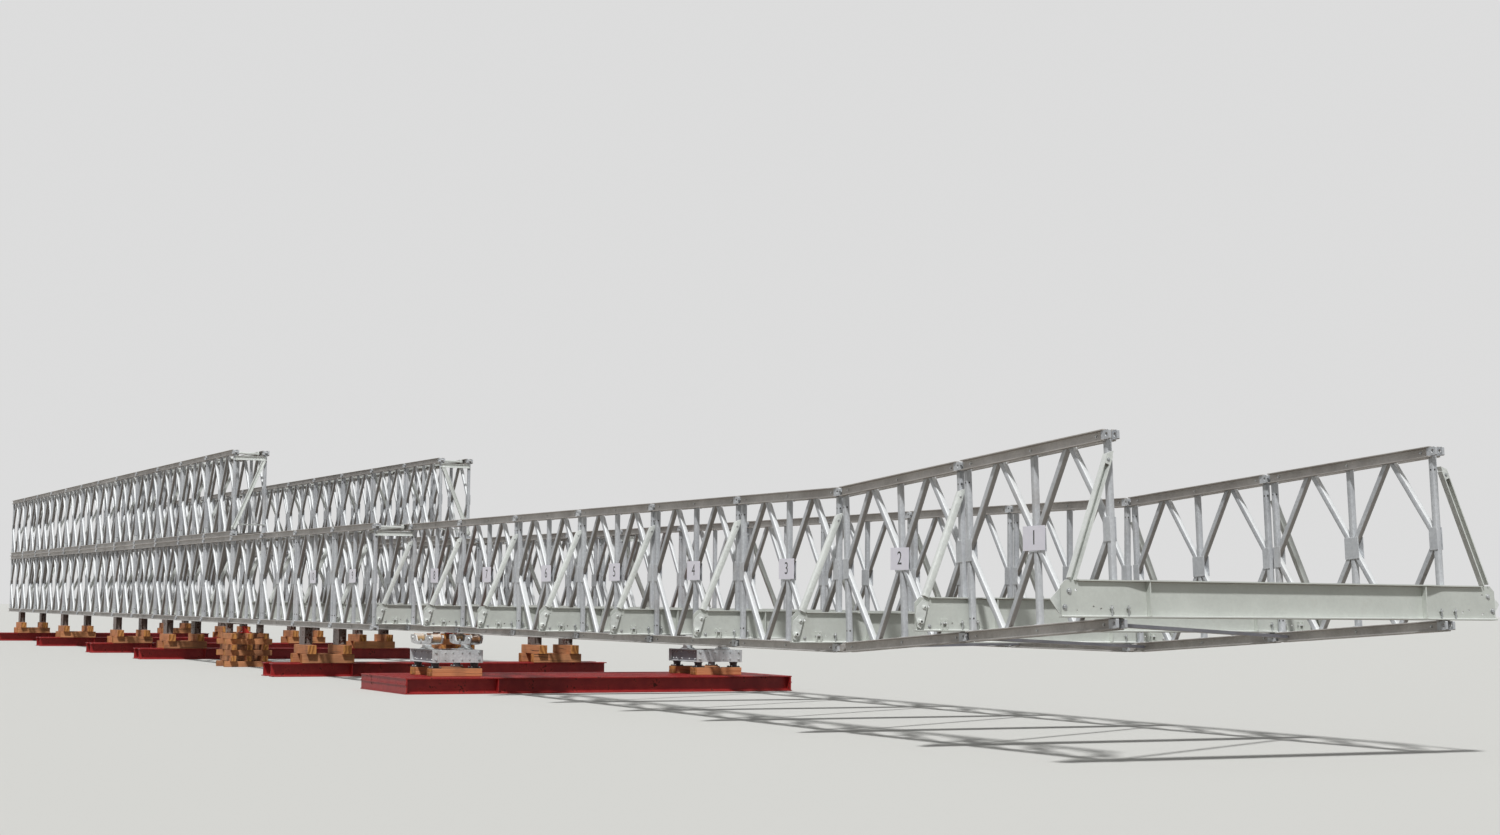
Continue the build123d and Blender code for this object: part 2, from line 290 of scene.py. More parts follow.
def plate(outline, thickness, holes=()):
    """A flat plate in X and Y, centred on Z 0, with holes through it."""
    curve = bpy.data.curves.new("outline", "CURVE")
    curve.dimensions = "2D"
    curve.fill_mode = "BOTH"
    curve.extrude = thickness / 2
    for loop in (outline, *holes):
        spline = curve.splines.new("POLY")
        spline.points.add(len(loop) - 1)
        for point, (x, y) in zip(spline.points, loop):
            point.co = (x, y, 0, 1)
        spline.use_cyclic_u = True
    return solid_of(curve)


def rectangle(width, height, middle=0.0):
    """Outline of a rectangle about X 0, its middle at some height in Y."""
    half, low, high = width / 2, middle - height / 2, middle + height / 2
    return [(-half, low), (half, low), (half, high), (-half, high)]


def flipped(outline, x_sign=-1, y_sign=1):
    """An outline's mirror image, its points in reverse so that it runs the same way round."""
    return [(x * x_sign, y * y_sign) for x, y in reversed(outline)]


def painted_steel(name, paint, worn_paint, rust, rust_share):
    """Primer brushed on steel: matt, a little uneven, chalked by the sun, with rust where it wears.

    The brush and chalk patches are a hand's width across, and the rust specks about 20 mm.
    """
    material, tree, shader = new_material(name)
    place = add_node(tree, "TexCoord", output="Object")
    patch = add_node(tree, "TexNoise", {"Vector": place, "Scale": 1 / 0.12, "Detail": 4.0})
    speck = add_node(tree, "TexNoise", {"Vector": place, "Scale": 1 / 0.02, "Detail": 5.0})
    chalk = add_node(tree, "MapRange", {"Value": patch, "From Min": 0.35, "From Max": 0.7})
    coats = {0: chalk, 6: linear(paint), 7: linear(worn_paint)}
    coat = add_node(tree, "Mix", coats, 2, data_type="RGBA")
    both = add_node(tree, "Math", {0: patch, 1: speck}, operation="MULTIPLY")
    rusted = {"Value": both, "From Min": 0.36 - rust_share, "From Max": 0.42 - rust_share}
    worn = add_node(tree, "MapRange", rusted)
    colour = add_node(tree, "Mix", {0: worn, 6: coat, 7: linear(rust)}, 2, data_type="RGBA")
    rough = add_node(tree, "MapRange", {"Value": worn, "To Min": 0.5, "To Max": 0.88})
    bump = add_node(tree, "Bump", {"Height": speck, "Strength": 0.25, "Distance": 0.002})
    set_inputs(tree, shader, {"Base Color": colour, "Roughness": rough, "Normal": bump})
    return material


red_oxide = painted_steel("red_oxide_primer", "8A0E13", "A52A26", "50241E", 0.03)

beam_depth = 0.15
beam_half = 0.075
beam_web = 0.008
beam_flange = 0.010
beam_root = 0.010
rib_place = -1.09


def wide_flange_beam(length):
    """A beam along Y on the ground, with rounded roots and one pair of ribs."""
    half_web = beam_web / 2
    root = [
        (half_web + beam_root * (1 - sin(angle)), beam_flange + beam_root * (1 - cos(angle)))
        for angle in (0, pi / 6, pi / 3, pi / 2)
    ]
    outline = [(-beam_half, 0), (beam_half, 0), (beam_half, beam_flange)]
    outline += root + flipped(root) + [(-beam_half, beam_flange)]
    tee = placed(prism(outline, -length / 2, length / 2), upright)
    clear = beam_flange + beam_root
    web = plate(rectangle(length, beam_depth - 2 * clear, beam_depth / 2), beam_web)
    web = placed(web, lengthwise)
    shapes = [tee, placed(tee, move(z=beam_depth) @ mirrored_by(1, 1, -1)), web]
    snip, rib_edge, rib_half = half_web + 0.008, beam_half - 0.006, 0.004
    rib_outline = [(half_web, beam_flange + 0.006), (snip, beam_flange), (rib_edge, beam_flange)]
    rib_outline += [(x, beam_depth - z) for x, z in reversed(rib_outline)]
    rib = placed(prism(rib_outline, -rib_half, rib_half), upright)
    for face in (-1, 1):
        shapes.append(placed(rib, move(y=rib_place) @ mirrored_by(face, 1)))
    return together(shapes)


def end_rail(width, length):
    """Rails across both ends of beams that lie side by side: a plate on edge with three flats on it."""
    half_thick, flat_level = 0.0060, 0.0055
    flat = rectangle(width, 0.010)
    rail = [(rectangle(width, beam_depth - 0.004), 0.0145, beam_depth / 2)]
    rail += [(flat, 0.0065, z) for z in (flat_level, beam_depth * 0.58, beam_depth - flat_level)]
    shapes = []
    for sign in (-1, 1):
        for outline, inset, z in rail:
            strip = placed(prism(outline, -half_thick, half_thick), upright)
            shapes.append(placed(strip, move(y=sign * (length / 2 - inset), z=z)))
    return together(shapes)


truss_low, truss_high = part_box("far_outer_lower_truss")
tail_joint = 24
double_joint = 8
bay = (truss_high.x - truss_low.x) / (tail_joint - double_joint)


def joint_x(joint):
    """Place along the bridge of a joint, counted from 0 at the nose tip to the last at the tail."""
    return truss_low.x + (tail_joint - joint) * bay


beam_length = 4.0
grillage_beams = 6
railed_beam = wide_flange_beam(beam_length - 0.040)
grillage_low, grillage_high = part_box("launching_grillage")
grillage_width = grillage_high.x - grillage_low.x
grillage_step = (grillage_width - 2 * beam_half) / (grillage_beams - 1)
rails = placed(end_rail(grillage_width, beam_length), move((grillage_low.x + grillage_high.x) / 2))
grillage = [
    placed(railed_beam, move(grillage_low.x + beam_half + row * grillage_step))
    for row in range(grillage_beams)
]
piece_of("grillage_beams", grillage + [rails], [red_oxide], "red_oxide_steel", "launching_grillage")

saddle_stations = (9.7, 14.4, 16.8, 19.9, 23.0)
pair_offset = 0.165
beam = wide_flange_beam(beam_length)
pairs = [
    placed(beam, move(joint_x(station) + offset))
    for station in saddle_stations
    for offset in (-pair_offset, pair_offset)
]
piece_of("saddle_beams", pairs, [red_oxide], "red_oxide_steel", "base_beams")


# Timbers. Sawn softwood packers, stacks and the crib under the jacks. The wood is orange-brown where
# freshly sawn and greyer where it has lain out, with growth rings on the ends and dark checks.
def sawn_timber(name, along):
    """Softwood with grain along X or Y: the grain streaks are 6 mm wide and some 300 mm long."""
    material, tree, shader = new_material(name)
    place = add_node(tree, "TexCoord", output="Object")
    tone = add_node(tree, "Attribute", output="Fac", attribute_name="tone")
    lengthways, crossways = 3.3, 160
    scales = (lengthways, crossways) if along == "x" else (crossways, lengthways)
    grain = add_node(tree, "Mapping", {"Vector": place, "Scale": (*scales, crossways)})
    streaks = add_node(tree, "TexNoise", {"Vector": grain, "Scale": 1.0, "Detail": 3.0})
    cracks = {"Vector": grain, "Scale": 0.4, "Detail": 2.0, "Distortion": 0.6}
    checks = add_node(tree, "TexNoise", cracks)
    patch = add_node(tree, "TexNoise", {"Vector": place, "Scale": 1 / 0.18, "Detail": 4.0})
    toned = add_node(tree, "Math", {0: patch, 1: tone}, operation="ADD")
    weather = add_node(tree, "MapRange", {"Value": toned, "From Min": 0.4, "From Max": 0.75})
    fresh_shades = {0: streaks, 6: linear("B06A40"), 7: linear("E0A475")}
    fresh = add_node(tree, "Mix", fresh_shades, 2, data_type="RGBA")
    old_shades = {0: streaks, 6: linear("74452E"), 7: linear("AE7B58")}
    old = add_node(tree, "Mix", old_shades, 2, data_type="RGBA")
    wood = add_node(tree, "Mix", {0: weather, 6: fresh, 7: old}, 2, data_type="RGBA")
    split = add_node(tree, "MapRange", {"Value": checks, "From Min": 0.66, "From Max": 0.7})
    colour = add_node(tree, "Mix", {0: split, 6: wood, 7: linear("3E2A1A")}, 2, data_type="RGBA")
    bump = add_node(tree, "Bump", {"Height": streaks, "Strength": 0.35, "Distance": 0.001})
    set_inputs(tree, shader, {"Base Color": colour, "Roughness": 0.82, "Normal": bump})
    return material


def end_grain():
    """Sawn timber ends: growth rings 4 mm apart, drawn at 8 mm so that they show."""
    material, tree, shader = new_material("sawn_softwood_ends")
    place = add_node(tree, "TexCoord", output="Object")
    growth = {"Vector": place, "Scale": 1 / (0.008 * 20), "Distortion": 9.0, "Detail": 2.0}
    rings = add_node(tree, "TexWave", growth, "Fac", wave_type="RINGS")
    shades = {0: rings, 6: linear("C98B4B"), 7: linear("8F5A2C")}
    colour = add_node(tree, "Mix", shades, 2, data_type="RGBA")
    set_inputs(tree, shader, {"Base Color": colour, "Roughness": 0.9})
    return material


sawn_along = sawn_timber("sawn_softwood_along", "x")
sawn_across = sawn_timber("sawn_softwood_across", "y")
timber_materials = [sawn_along, sawn_across, end_grain()]
saw = random.Random(11)


def chamfered(width, depth, height, edge, slot=0):
    """A block centred on the origin, with a narrow chamfer along every edge."""
    rings = []
    for level, inset in ((0, edge), (edge, 0), (height - edge, 0), (height, edge)):
        half, deep = width / 2 - inset, depth / 2 - inset
        ring = [(half - edge, -deep), (half, edge - deep), (half, deep - edge), (half - edge, deep)]
        ring += [(-x, -y) for x, y in ring]
        rings.append([(x, y, level - height / 2) for x, y in ring])
    return skin(rings, slot)


def timber(width, height, length, along, place):
    """One sawn timber with a little play in how it lies."""
    shape = chamfered(width, height, length, 0.0025)
    slots = np.full(len(shape.sizes), "xy".index(along))
    slots[[0, -1]] = 2
    lie = lengthwise if along == "x" else upright
    sway = turn(saw.uniform(-0.012, 0.012), "Z") @ move(saw.uniform(-0.003, 0.003))
    return placed(shape._replace(slots=slots), place @ sway @ lie, saw.uniform(-0.15, 0.15))


timber_length = 0.596


def timber_layer(place, size, along, bottom, shifts=(-0.2, 0.2)):
    """Timbers side by side along X or Y, across 400 mm."""
    shapes = []
    for shift in shifts:
        x, y = (0, shift) if along == "x" else (shift, 0)
        spot = place @ move(x, y, bottom + size / 2)
        shapes.append(timber(size, size, timber_length, along, spot))
    return shapes


fit_gap = 0.0003
girder_middle = 1.3725
stack_timber = 0.1
crib_timber = 0.07
crib_layers = 6
jack_station = 12.05
rocker_station = 6.9
packer_offset = 0.2525
packer_row = 0.043
packer_width = 0.082
packer_thick = 0.036
packer_length = 0.494
packer_step = 0.0366
sides = {"near": -1, "far": 1}
for side, sign in sides.items():
    stacks = []
    for station in saddle_stations:
        place = move(joint_x(station), sign * girder_middle)
        for layer, along in enumerate("yx"):
            bottom = beam_depth + fit_gap + layer * (stack_timber + fit_gap)
            stacks += timber_layer(place, stack_timber, along, bottom)
    place = move(joint_x(jack_station), sign * girder_middle)
    for layer in range(crib_layers):
        along, shifts = ("x", (-0.2, 0, 0.2)) if layer % 2 else ("y", (-0.2, 0.2))
        stacks += timber_layer(place, crib_timber, along, layer * (crib_timber + fit_gap), shifts)
    node = f"{side}_timber_stacks"
    piece_of(f"{side}_sawn_timbers", stacks, timber_materials, "weathered_timber", node)
    packers = []
    for shift in (-packer_offset, packer_offset):
        for layer in range(2):
            for row in (-packer_row, packer_row):
                middle = beam_depth + fit_gap + layer * packer_step + packer_thick / 2
                place = move(joint_x(rocker_station) + shift + row, sign * girder_middle, middle)
                packers.append(timber(packer_width, packer_thick, packer_length, "y", place))
    node = f"{side}_roller_packers"
    piece_of(f"{side}_sawn_packers", packers, timber_materials, "weathered_timber", node)


# Rocking roller units. Under each girder lies a bolted, galvanised box on four feet. It carries a
# rocker under each truss, which is two cheek plates that rock on a pivot with a roller at each end.
def galvanised_steel(name, light, dark, dust, dust_share, roughness=0.5, metallic=0.4):
    """Hot-dip zinc, weathered dull: soft cloudy patches, faint crystal spangle and a film of dust.

    The spangle is 8 mm across and drawn at 14 mm so that it shows. Dust patches are half a metre long.
    Faces that look up are mixed paler, a painted highlight of the light from above, and undersides darker
    and browner, a painted shade tinted like light bounced off the ground.
    """
    material, tree, shader = new_material(name)
    place = add_node(tree, "TexCoord", output="Object")
    tone = add_node(tree, "Attribute", output="Fac", attribute_name="tone")
    cloud = add_node(tree, "TexNoise", {"Vector": place, "Scale": 1 / 0.3, "Detail": 5.0})
    spangle = add_node(tree, "TexVoronoi", {"Vector": place, "Scale": 1 / 0.014}, "Color")
    fleck = add_node(tree, "SeparateColor", {0: spangle})
    flecked = add_node(tree, "Math", {0: fleck, 1: 0.2, 2: cloud}, operation="MULTIPLY_ADD")
    toned = add_node(tree, "Math", {0: flecked, 1: tone}, operation="ADD")
    shade = add_node(tree, "MapRange", {"Value": toned, "From Min": 0.35, "From Max": 0.85})
    colour = add_node(tree, "Mix", {0: shade, 6: linear(dark), 7: linear(light)}, 2, data_type="RGBA")
    patches = {"Vector": place, "Scale": 1 / 0.5, "Detail": 8.0, "Roughness": 0.7}
    film = add_node(tree, "TexNoise", patches)
    normal = add_node(tree, "NewGeometry", output="Normal")
    rise = add_node(tree, "SeparateXYZ", {0: normal}, "Z")
    # Painted light: faces that look up mix towards pale F2F4F3 as a painted highlight, faces that look down
    # towards brown 85796E as painted shade.
    for cause, start, end, most, tint in (
        (film, 0.52 - dust_share, 0.8 - dust_share, 0.7, dust),
        (rise, 0.15, 0.6, 0.55, "F2F4F3"),
        (rise, -0.1, -0.6, 0.75, "85796E"),
    ):
        span = {"Value": cause, "From Min": start, "From Max": end, "To Max": most}
        share = add_node(tree, "MapRange", span)
        colour = add_node(tree, "Mix", {0: share, 6: colour, 7: linear(tint)}, 2, data_type="RGBA")
    sheen = {"Value": fleck, "To Min": roughness - 0.07, "To Max": roughness + 0.1}
    rough = add_node(tree, "MapRange", sheen)
    bump = add_node(tree, "Bump", {"Height": flecked, "Strength": 0.1, "Distance": 0.002})
    look = {"Base Color": colour, "Roughness": rough, "Normal": bump, "Metallic": metallic}
    set_inputs(tree, shader, look)
    return material


# The box's plates are hot-dip zinc painted pale as painted sunlight, its side channels are painted dark
# grey as painted shade, and its feet are black.
sunlit_painted_roller_zinc = galvanised_steel("galvanised_roller_box", "E2E6E7", "B9BEC1", "8B7B68", 0.02)
shade_painted_zinc = galvanised_steel("shade_painted_galvanised_channels", "8E8E96", "72727A", "6A5E56", 0.05)
foot_black = painted_steel("black_foot_paint", "343135", "4C484A", "4A3026", 0.04)
# Bolts are plated and smoother. The rollers' yellow passivated plating has browned where it wears.
bolt_zinc = galvanised_steel("zinc_plated_bolts", "C9CBCB", "9DA0A1", "8E8375", 0.0, 0.35, 0.7)
passivated = galvanised_steel("yellow_passivated_zinc", "F0CF9C", "B47E58", "7A4630", 0.04, 0.35, 0.4)


def circle(radius, count, x=0.0, y=0.0):
    """Outline of a round hole or bar, from its number of corners."""
    angles = [2 * pi * i / count for i in range(count)]
    return [(x + radius * cos(angle), y + radius * sin(angle)) for angle in angles]


def turned(profile, count, slot=0):
    """A round shape about Z from (radius, height) pairs, from the bottom up."""
    return skin([[(x, y, z) for x, y in circle(radius, count)] for radius, z in profile], slot)


def hexagon_bolt(radius, height, slot=1):
    """A bolt head on its washer, standing on Z 0."""
    washer = turned(((radius * 1.4, 0), (radius * 1.4, height * 0.2)), 12, slot)
    top = ((radius, height * 0.2), (radius, height * 0.86), (radius * 0.85, height))
    return together([washer, turned(top, 6, slot)])


def facing(axis, sign, x=0.0, y=0.0, z=0.0):
    """Place of a shape that stands on Z 0, so that it stands on a face that looks along X or Y."""
    tip = turn(sign * pi / 2, "Y") if axis == "X" else turn(-sign * pi / 2, "X")
    return move(x, y, z) @ tip


truss_lines = (-0.195, 0.195)
box_length = 0.675
box_width = 0.5
box_height = 0.122
foot_height = 0.052
packer_pile = 0.073
box_bottom = beam_depth + 2 * fit_gap + packer_pile + foot_height + fit_gap
box_bolt = hexagon_bolt(0.010, 0.011)
small_bolt = hexagon_bolt(0.007, 0.008)


def channel_wall(length, height, flange, thickness, slot=0):
    """A channel standing on edge along X, its web on Y 0 and its flanges towards +Y."""
    lip = thickness + 0.006
    side = [(0, 0), (flange, 0), (flange, thickness * 0.8), (lip, thickness), (thickness, lip)]
    outline = side + [(y, height - z) for y, z in reversed(side)]
    return placed(prism(outline, -length / 2, length / 2, slot), lengthwise)


def roller_box():
    """Side channels open outwards, drilled end walls, corner plates, covers, bolts and four feet."""
    half_long, half_wide = box_length / 2, box_width / 2
    side_flange, wall, plate_half, corner_half = 0.040, 0.007, 0.004, 0.036
    # The side channels take slot 2, the dark zinc that is painted shade.
    side_wall = channel_wall(box_length - 0.017, box_height, side_flange, wall, 2)
    end_wall = channel_wall(box_width - 4 * corner_half, box_height - 0.006, 0.045, wall)
    corner_plate = chamfered(2 * plate_half, 2 * corner_half, box_height, 0.0015)
    corners = (corner_half - half_wide, half_wide - corner_half)
    shapes = []
    for sign in (-1, 1):
        side_place = move(y=sign * (half_wide - side_flange)) @ mirrored_by(1, sign)
        end_place = move(sign * (half_long - plate_half), 0, 0.003) @ turn(sign * pi / 2, "Z")
        shapes += [placed(side_wall, side_place), placed(end_wall, end_place)]
        side_face, end_face = sign * (half_wide - side_flange + 0.0065), sign * (half_long - 0.0045)
        for z in (0.028, box_height - 0.028):
            for x in (-0.29, -0.22, -0.09, 0.09, 0.22, 0.29):
                shapes.append(placed(small_bolt, facing("Y", sign, x, side_face, z)))
            for y in (-0.12, -0.045, 0.045, 0.12):
                shapes.append(placed(small_bolt, facing("X", sign, end_face, y, z)))
            for y in corners:
                spot = facing("X", sign, sign * (half_long - 0.0005), y, z)
                shapes.append(placed(box_bolt, spot))
        for y in corners:
            spot = move(sign * (half_long - plate_half), y, box_height / 2)
            shapes.append(placed(corner_plate, spot))
    cover = chamfered(box_length - 0.11, 0.11, 0.008, 0.0015)
    for line in truss_lines:
        shapes.append(placed(cover, move(0, line, box_height - 0.0045)))
    pad = chamfered(0.100, 0.100, 0.010, 0.002, 3)
    post = turned(((0.036, 0), (0.036, 0.028), (0.041, 0.032), (0.041, 0.043)), 24, 3)
    pad_bolt, pad_top = 0.039, -0.043
    for x in (-packer_offset, packer_offset):
        for y in truss_lines:
            shapes.append(placed(pad, move(x, y, pad_top - 0.0045)))
            shapes.append(placed(post, move(x, y, pad_top - 0.0002)))
            for x_sign, y_sign in ((-1, -1), (1, -1), (-1, 1), (1, 1)):
                spot = move(x + x_sign * pad_bolt, y + y_sign * pad_bolt, pad_top)
                shapes.append(placed(small_bolt, spot))
    return together(shapes)


pivot_bottom = box_bottom + box_height + fit_gap
chord_underside = truss_low.z
roller_radius = 0.042
axle_level = chord_underside - fit_gap - roller_radius
cheek_half = 0.32
roller_offset = 0.25


def rocker():
    """Pivot block, two cheek plates with clipped ends, spacer bars and axle nuts."""
    base = pivot_bottom - axle_level
    shapes = [
        placed(chamfered(0.16, 0.094, 0.010, 0.002), move(z=base + 0.0055)),
        placed(chamfered(0.084, 0.07, 0.034, 0.004), move(z=base + 0.026)),
    ]
    for x in (-0.062, 0.062):
        for y in (-0.032, 0.032):
            shapes.append(placed(small_bolt, move(x, y, base + 0.0105)))
    half_outline = [(0.07, -0.062), (0.20, -0.058), (cheek_half - 0.03, -0.046), (cheek_half, 0.004)]
    half_outline += [(cheek_half - 0.006, 0.024), (cheek_half - 0.016, 0.030), (0.185, 0.030)]
    half_outline += [(0.150, 0.012), (0.125, -0.026), (0.10, -0.034)]
    outline = half_outline + flipped(half_outline)
    sight_holes = [circle(0.010, 12, x, -0.03) for x in (-0.2, 0.2)]
    cheek = placed(plate(outline, 0.0118, sight_holes), upright)
    cheek_middle, cheek_face, spacer_level = 0.0543, 0.060, -0.04
    pivot = turned(((0.024, 0), (0.024, 0.004), (0.018, 0.006)), 20, 1)
    axle_nut = hexagon_bolt(0.012, 0.008)
    for sign in (-1, 1):
        shapes.append(placed(cheek, move(y=sign * cheek_middle)))
        shapes.append(placed(pivot, facing("Y", sign, 0, sign * cheek_face, -0.032)))
        for x in (-roller_offset, roller_offset):
            shapes.append(placed(axle_nut, facing("Y", sign, x, sign * cheek_face)))
    between = 0.0966
    spacer = turned(((0.010, 0), (0.010, between)), 12, 1)
    strip = chamfered(0.05, between, 0.006, 0.001)
    for sign in (-1, 1):
        shapes.append(placed(spacer, facing("Y", 1, sign * 0.17, -between / 2, spacer_level)))
        shapes.append(placed(strip, move(sign * 0.262, 0, -0.0465)))
    return together(shapes)


def launching_roller():
    """Turned roller with a raised rim at each end and a boss round its axle, which lies along Y."""
    half = 0.048
    profile = [(0.012, -half), (0.030, -half), (0.032, 0.002 - half), (0.036, 0.003 - half)]
    profile += [(roller_radius - 0.002, 0.004 - half), (roller_radius, 0.006 - half)]
    profile += [(roller_radius, 0.016 - half), (0.0385, 0.020 - half)]
    rings = profile + flipped(profile, 1, -1)
    return placed(turned(rings, 40), upright)


truss_unit = rocker()
round_roller = launching_roller()
unit_box = roller_box()
unit_materials = [sunlit_painted_roller_zinc, bolt_zinc, shade_painted_zinc, foot_black]
for side, sign in sides.items():
    place = move(joint_x(rocker_station), sign * girder_middle)
    boxes = [placed(unit_box, place @ move(z=box_bottom))]
    node = f"{side}_roller_box"
    piece_of(f"{side}_bolted_box", boxes, unit_materials, "galvanised_roller_steel", node)
    lines = [place @ move(y=line, z=axle_level) for line in truss_lines]
    rockers = [placed(truss_unit, line) for line in lines]
    node = f"{side}_rockers"
    piece_of(f"{side}_cheek_plates", rockers, unit_materials, "galvanised_roller_steel", node)
    shifts = (-roller_offset, roller_offset)
    rollers = [placed(round_roller, line @ move(x)) for line in lines for x in shifts]
    node = f"{side}_launching_rollers"
    piece_of(f"{side}_turned_rollers", rollers, [passivated], "zinc_plated_roller", node)


# Saddles. On each timber stack two short stubs of rusted rolled beam stand side by side under each
# truss, with drilled flanges and bolts, and hold its bottom chord at its level.
# Bare rolled steel: dull grey-brown scale with darker rust patches.
bare_rust = painted_steel("rusted_plate", "6C605B", "877D77", "54342A", 0.09)
saddle_bottom = beam_depth + fit_gap + 2 * (stack_timber + fit_gap)
saddle_height = chord_underside - fit_gap - saddle_bottom
stub_length = 0.092
stub_offset = 0.0555


def saddle_stub():
    """A stub of beam along Y, with end plates and flange bolts, standing on Z 0."""
    half_web, half, root = 0.004, 0.054, 0.008
    side = [(half, 0), (half, 0.008), (half_web + root, 0.009), (half_web, 0.009 + root)]
    outline = side + [(x, saddle_height - z) for x, z in reversed(side)]
    outline += flipped(outline)
    plate_thick, reach = 0.006, stub_length / 2
    shapes = [placed(prism(outline, plate_thick - reach, reach - plate_thick), upright)]
    end_plate = chamfered(2 * half, plate_thick, saddle_height - 0.001, 0.001)
    flange_bolt = hexagon_bolt(0.007, 0.008, 0)
    for sign in (-1, 1):
        end_place = move(y=sign * (reach - plate_thick / 2), z=saddle_height / 2)
        shapes.append(placed(end_plate, end_place))
        for x in (-0.032, 0.032):
            shapes.append(placed(flange_bolt, move(x, sign * 0.022, 0.0083)))
    return together(shapes)


stub = saddle_stub()
for side, sign in sides.items():
    stubs = [
        placed(stub, move(joint_x(station) + shift, sign * girder_middle + line, saddle_bottom))
        for station in saddle_stations
        for shift in (-stub_offset, stub_offset)
        for line in truss_lines
    ]
    piece_of(f"{side}_beam_stubs", stubs, [bare_rust], "rusted_steel", f"{side}_saddles")


# Jacks. On the crib stands a short screw jack in red paint, with a block of rusted steel packing each
# side of it, under one head plate that reaches both trusses' bottom chords.
# The jack's enamel is brighter and redder than primer, and chipped to rust in few places.
jack_red = painted_steel("red_jack_enamel", "B01F1C", "BF3A30", "6B3A26", 0.02)
jack_bottom = crib_layers * (crib_timber + fit_gap)
jack_height = chord_underside - fit_gap - jack_bottom
jack_materials = [jack_red, bolt_zinc, bare_rust]
jack_plate = 0.014
jack_width = 0.13


def screw_jack():
    """Foot plate, ribbed barrel, bare screw and head plate, between two packing blocks."""
    barrel = [(0.040, jack_plate), (0.040, 0.024), (0.034, 0.030), (0.034, 0.072), (0.038, 0.076)]
    thread = [(0.018, 0.088)]
    for ridge in range(4):
        thread += [(0.021, 0.090 + ridge * 0.005), (0.018, 0.0925 + ridge * 0.005)]
    shapes = [
        placed(chamfered(jack_width, jack_width, jack_plate, 0.002), move(z=jack_plate / 2)),
        turned(barrel + [(0.038, 0.088)], 24),
        turned(thread + [(0.018, jack_height - jack_plate)], 20, 1),
    ]
    rib_outline = [(0.030, jack_plate), (0.060, jack_plate), (0.060, 0.020), (0.030, 0.060)]
    rib = prism(rib_outline, -0.003, 0.003)
    for quarter in range(4):
        shapes.append(placed(rib, turn((quarter + 0.5) * pi / 2, "Z") @ upright))
    foot_bolt = 0.05
    for x in (-foot_bolt, foot_bolt):
        for y in (-foot_bolt, foot_bolt):
            shapes.append(placed(small_bolt, move(x, y, jack_plate - 0.0005)))
    block_height = jack_height - jack_plate - 0.0005
    head = chamfered(jack_width, 0.486, jack_plate, 0.002, 2)
    shapes.append(placed(head, move(z=jack_height - jack_plate / 2)))
    block = chamfered(0.078, 0.078, block_height / 2 - 0.001, 0.003, 2)
    for line in truss_lines:
        for level in (0.25, 0.75):
            shapes.append(placed(block, move(0, line, block_height * level + 0.0003)))
    return together(shapes)


jack = screw_jack()
jacks = [
    placed(jack, move(joint_x(jack_station), sign * girder_middle, jack_bottom))
    for sign in sides.values()
]
piece_of("screw_jacks", jacks, jack_materials, "red_oxide_steel", "jacks")


# Panels. Each bay of a truss is one welded, galvanised panel: two chords of paired channels, three
# tube posts and tube diagonals in two diamonds, with plates at mid height and jaws at its four ends.
# Hot-dip zinc on tubes stays bright, and on the rolled chords greyer and browner. Holes are painted near
# black as their shade.
panel_zinc = galvanised_steel("galvanised_panel_tubes", "CDD0D3", "ABAEB2", "92877C", -0.03, 0.5, 0.25)
chord_zinc = galvanised_steel("galvanised_chord_channels", "C0BCB8", "9B9691", "71675F", 0.02, 0.5, 0.25)
shaded_bore = painted_steel("shaded_bore", "2A2725", "35312E", "3A2A22", 0.0)
panel_materials = [panel_zinc, bolt_zinc, chord_zinc, shaded_bore]

chord_half = 0.032
pin_height = truss_high.z - truss_low.z - 2 * chord_half
pin_level = truss_low.z + chord_half
channel_back = 0.0183
channel_front = 0.0223
chord_toe = 0.0463
post_inset = 0.043
tube = 0.036
tail_gap = 0.028
storey_joint = 12
tip_joint = 2
nose_tilt = radians(3.7)


def rounded(width, depth, corner):
    """Outline of a rectangle with rounded corners, centred."""
    outline = []
    for quarter, (x_sign, y_sign) in enumerate(((1, 1), (-1, 1), (-1, -1), (1, -1))):
        x, y = x_sign * (width / 2 - corner), y_sign * (depth / 2 - corner)
        angles = [(quarter + step) * pi / 2 for step in (0, 0.5, 1)]
        outline += [(x + corner * cos(angle), y + corner * sin(angle)) for angle in angles]
    return outline


def bar(outline, start, end, up):
    """An outline drawn from one point to another, its own Y along the direction up."""
    start, end, up = Vector(start), Vector(end), Vector(up)
    along = (end - start).normalized()
    side = up.cross(along).normalized()
    axes = Matrix((side, along.cross(side), along)).transposed().to_4x4()
    return placed(prism(outline, 0, (end - start).length), Matrix.Translation(start) @ axes)


def chord_channel(start, end):
    """One channel of a chord on the +Y side, with rounded roots and eased toes."""
    inner = chord_half - 0.0075
    top = [
        (channel_front, inner - 0.005),
        (channel_front + 0.001, inner - 0.002),
        (channel_front + 0.004, inner - 0.0005),
        (chord_toe, inner + 0.001),
        (chord_toe, chord_half - 0.001),
        (chord_toe - 0.001, chord_half),
        (channel_back, chord_half),
    ]
    outline = flipped(top, 1, -1) + top
    return placed(prism(outline, start, end, 2), lengthwise)


def lug_outline(reach, back, depth):
    """A plate along X with a rounded end past the pin."""
    half, angles = depth / 2, [step * pi / 6 for step in (-3, -2, -1, 0, 1, 2, 3)]
    arc = [(reach - half * (1 - cos(angle)), half * sin(angle)) for angle in angles]
    return arc + [(-back, half), (-back, -half)]


